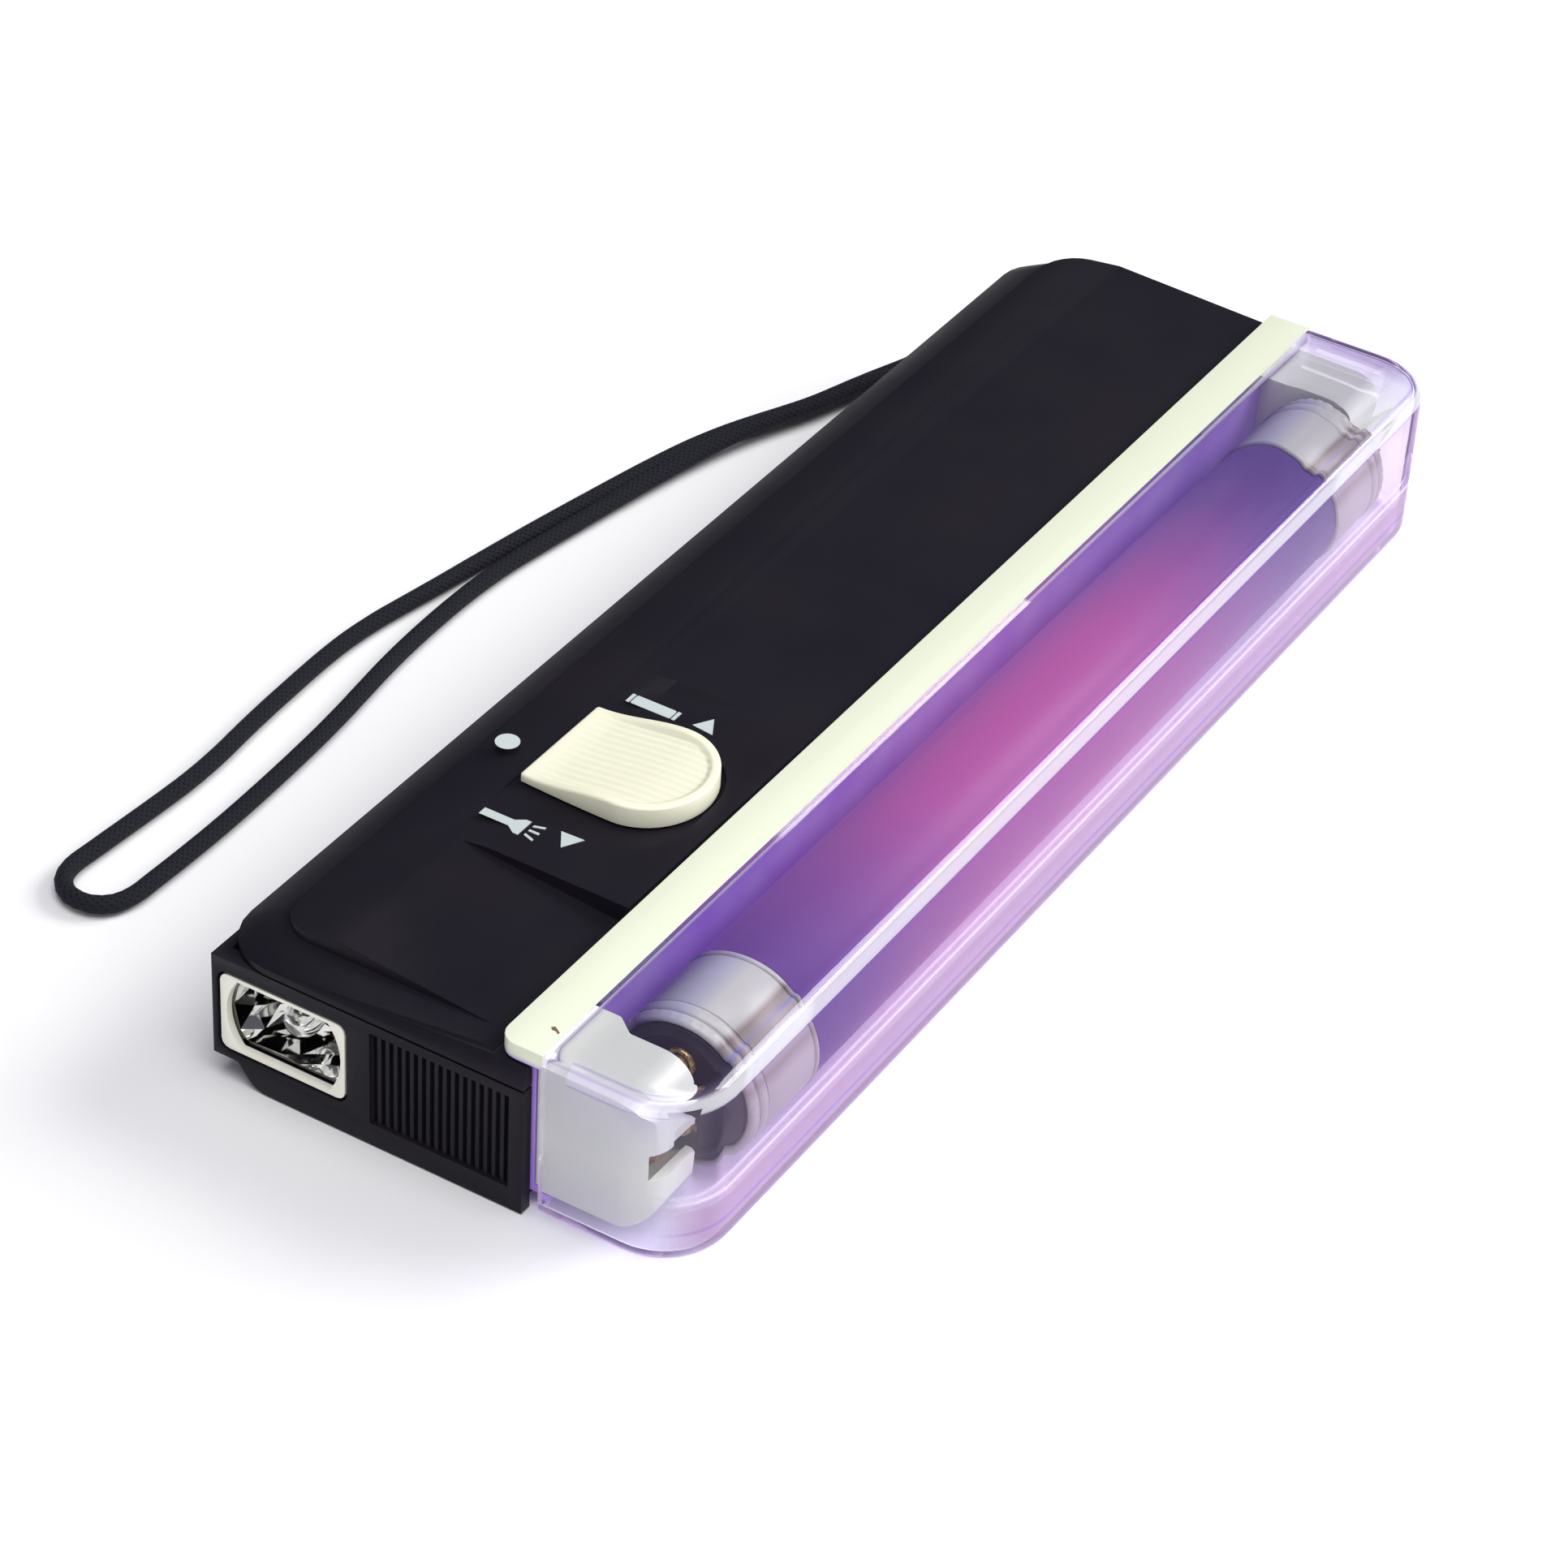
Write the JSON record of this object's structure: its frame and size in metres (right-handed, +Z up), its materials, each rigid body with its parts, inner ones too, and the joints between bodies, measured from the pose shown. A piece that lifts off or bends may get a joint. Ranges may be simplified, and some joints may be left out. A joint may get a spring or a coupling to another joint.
{
  "type": "handheld counterfeit bill detector",
  "caption": "Slim black handheld checker with an ultraviolet tube under a clear cover, a small torch in its end, a slide switch and a wrist cord.",
  "frame": {"origin": "centre of the case's footprint on the surface it lies on", "axes": "+Z up through the switch face, +Y along the body towards the wrist cord's end, +X across the body towards the tube"},
  "size_m": [0.0876, 0.16, 0.0219],
  "materials": {
    "black_abs": "satin black moulded ABS, faint texture",
    "cream_abs": "smooth off-white moulded ABS",
    "clear_cover": "clear polished acrylic",
    "lamp_glass": "lit ultraviolet tube glass, violet with a pink middle",
    "aluminium": "bright rolled cap",
    "phenolic": "dark pressed insulator",
    "brass": "plain brass",
    "chrome": "metallised mirror on moulded plastic",
    "bulb_glass": "clear bulb glass",
    "steel": "nickel-plated steel",
    "board": "brown paper-resin board",
    "ferrite": "dark ferrite",
    "winding": "taped winding",
    "component": "black moulded resin",
    "capacitor": "blue sleeve",
    "resistor": "tan lacquer",
    "cell_label": "plain printed sleeve over a metal can",
    "wire_red": "PVC insulation",
    "wire_black": "PVC insulation",
    "wire_white": "PVC insulation",
    "braid": "braided nylon cord"
  },
  "bodies": {
    "case": {"bottom_case": "black_abs", "top_case": "black_abs", "reflector_tray": "cream_abs", "lamp_holder_near": "cream_abs", "lamp_holder_far": "cream_abs", "lamp_contact_near_upper": "brass", "lamp_contact_near_lower": "brass", "lamp_contact_far_upper": "brass", "lamp_contact_far_lower": "brass", "switch_housing": "steel", "switch_base": "board", "switch_terminal_1": "brass", "switch_terminal_2": "brass", "switch_terminal_3": "brass", "torch_bezel": "cream_abs", "torch_reflector": "chrome", "torch_bulb_glass": "bulb_glass", "torch_bulb_base": "brass", "torch_socket": "component", "torch_contact": "brass", "circuit_board": "board", "transformer_core": "ferrite", "transformer_coil": "winding", "power_transistor": "component", "filter_capacitor": "capacitor", "resistor": "resistor", "battery_cell_1": "cell_label", "battery_cell_2": "cell_label", "battery_cell_3": "cell_label", "battery_cell_4": "cell_label", "battery_bridge": "steel", "battery_terminal_positive": "steel", "battery_terminal_negative": "steel", "battery_spring_near": "steel", "battery_spring_far": "steel", "case_screw_1": "steel", "case_screw_2": "steel", "case_screw_3": "steel", "wire_battery_positive": "wire_red", "wire_battery_negative": "wire_black", "wire_torch": "wire_white", "wire_lamp_feed": "wire_red", "wire_lamp_near": "wire_white", "wire_lamp_far": "wire_white", "wrist_cord": "braid", "cord_knot": "braid"},
    "switch": {"switch_knob": "cream_abs", "switch_slider": "component", "switch_wiper": "brass"},
    "battery_lid": {"battery_door": "black_abs"},
    "lamp_cover": {"tube_cover": "clear_cover"},
    "lamp": {"tube_glass": "lamp_glass", "tube_cap_near": "aluminium", "tube_cap_far": "aluminium", "tube_disc_near": "phenolic", "tube_disc_far": "phenolic", "tube_pin_near_low": "brass", "tube_pin_near_high": "brass", "tube_pin_far_low": "brass", "tube_pin_far_high": "brass"}
  },
  "joints": [
    {"name": "switch_slide", "type": "slide", "parent": "case", "child": "switch", "axis": [0, 1, 0], "range_m": [-0.004, 0]},
    {"name": "battery_door_slide", "type": "slide", "parent": "case", "child": "battery_lid", "axis": [0, 1, 0], "range_m": [0, 0.11]},
    {"name": "tube_cover_pull", "type": "slide", "parent": "case", "child": "lamp_cover", "axis": [1, 0, 0], "range_m": [0, 0.03]},
    {"name": "tube_twist", "type": "hinge", "parent": "case", "child": "lamp", "pos_m": [0.01785, 0, 0.01025], "axis": [0, 1, 0], "range_deg": [0, 90]}
  ]
}
